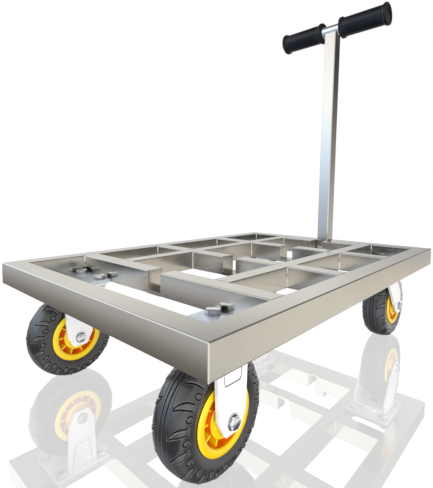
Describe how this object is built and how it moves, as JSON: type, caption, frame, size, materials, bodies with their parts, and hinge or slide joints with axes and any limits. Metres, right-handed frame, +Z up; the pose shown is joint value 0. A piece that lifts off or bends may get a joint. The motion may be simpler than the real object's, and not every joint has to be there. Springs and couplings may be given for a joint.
{
  "type": "flatbed platform truck",
  "caption": "Platform truck with an open grid deck of square tube, a central T-handle that folds into a slot, and rigid and swivel casters.",
  "frame": {"origin": "on the floor, below the middle of the whole outline with the handle upright", "axes": "+Z up, +Y towards the handle end, +X to the right when looking from the rigid casters to the handle"},
  "size_m": [0.7, 1.0386, 1.078],
  "materials": {
    "frame_steel": "satin stainless tube, brushed along its length",
    "polished_tube": "bright stainless round tube",
    "sheet_steel": "bluish zinc-plated sheet",
    "zinc": "bright zinc-plated pressed steel",
    "fastener": "bright plated fasteners",
    "tyre_rubber": "dark grey rubber with shoulder lugs",
    "rim_yellow": "yellow moulded rim",
    "grip_rubber": "smooth black moulded grip"
  },
  "bodies": {
    "frame": {"axle_bolts_near": "fastener", "axle_nuts_near": "fastener", "caster_bolts": "fastener", "caster_nuts": "fastener", "caster_washers": "fastener", "cross1_left": "frame_steel", "cross1_right": "frame_steel", "cross2_inner_left": "frame_steel", "cross2_inner_right": "frame_steel", "cross2_outer_left": "frame_steel", "cross2_outer_right": "frame_steel", "cross3_inner_left": "frame_steel", "cross3_inner_right": "frame_steel", "cross3_outer_left": "frame_steel", "cross3_outer_right": "frame_steel", "cross4_left": "frame_steel", "cross4_right": "frame_steel", "fork_near_left": "zinc", "fork_near_right": "zinc", "handle_seat": "frame_steel", "kingpin_left": "fastener", "kingpin_right": "fastener", "long_left": "frame_steel", "long_right": "frame_steel", "pivot_ears": "frame_steel", "pivot_pin": "fastener", "rail_far_left": "frame_steel", "rail_far_right": "frame_steel", "rail_left": "frame_steel", "rail_near": "frame_steel", "rail_right": "frame_steel", "sheets_far": "sheet_steel", "sheets_near": "sheet_steel", "stub_caps": "frame_steel", "swivel_plate_left": "zinc", "swivel_plate_right": "zinc", "tie_plates": "sheet_steel"},
    "handle": {"handle_tube": "frame_steel", "pivot_block": "frame_steel", "t_bar": "polished_tube", "grip_left": "grip_rubber", "grip_right": "grip_rubber"},
    "swivel_left": {"swivel_fork_left": "zinc", "axle_bolt_far_left": "fastener", "axle_nut_far_left": "fastener"},
    "swivel_right": {"swivel_fork_right": "zinc", "axle_bolt_far_right": "fastener", "axle_nut_far_right": "fastener"},
    "wheel_near_left": {"tyre_near_left": "tyre_rubber", "rim_near_left": "rim_yellow", "bearings_near_left": "fastener"},
    "wheel_near_right": {"tyre_near_right": "tyre_rubber", "rim_near_right": "rim_yellow", "bearings_near_right": "fastener"},
    "wheel_far_left": {"tyre_far_left": "tyre_rubber", "rim_far_left": "rim_yellow", "bearings_far_left": "fastener"},
    "wheel_far_right": {"tyre_far_right": "tyre_rubber", "rim_far_right": "rim_yellow", "bearings_far_right": "fastener"}
  },
  "joints": [
    {"name": "handle_fold", "type": "hinge", "parent": "frame", "child": "handle", "pos_m": [0, 0.45374, 0.25], "axis": [1, 0, 0], "range_deg": [0, 87.5]},
    {"name": "swivel_left", "type": "hinge", "parent": "frame", "child": "swivel_left", "pos_m": [-0.24, 0.33574, 0.206], "axis": [0, 0, 1], "continuous": true},
    {"name": "swivel_right", "type": "hinge", "parent": "frame", "child": "swivel_right", "pos_m": [0.24, 0.33574, 0.206], "axis": [0, 0, 1], "continuous": true},
    {"name": "spin_near_left", "type": "hinge", "parent": "frame", "child": "wheel_near_left", "pos_m": [-0.24, -0.40326, 0.1], "axis": [1, 0, 0], "continuous": true},
    {"name": "spin_near_right", "type": "hinge", "parent": "frame", "child": "wheel_near_right", "pos_m": [0.24, -0.40326, 0.1], "axis": [1, 0, 0], "continuous": true},
    {"name": "spin_far_left", "type": "hinge", "parent": "swivel_left", "child": "wheel_far_left", "pos_m": [-0.24, 0.38574, 0.1], "axis": [1, 0, 0], "continuous": true},
    {"name": "spin_far_right", "type": "hinge", "parent": "swivel_right", "child": "wheel_far_right", "pos_m": [0.24, 0.38574, 0.1], "axis": [1, 0, 0], "continuous": true}
  ]
}
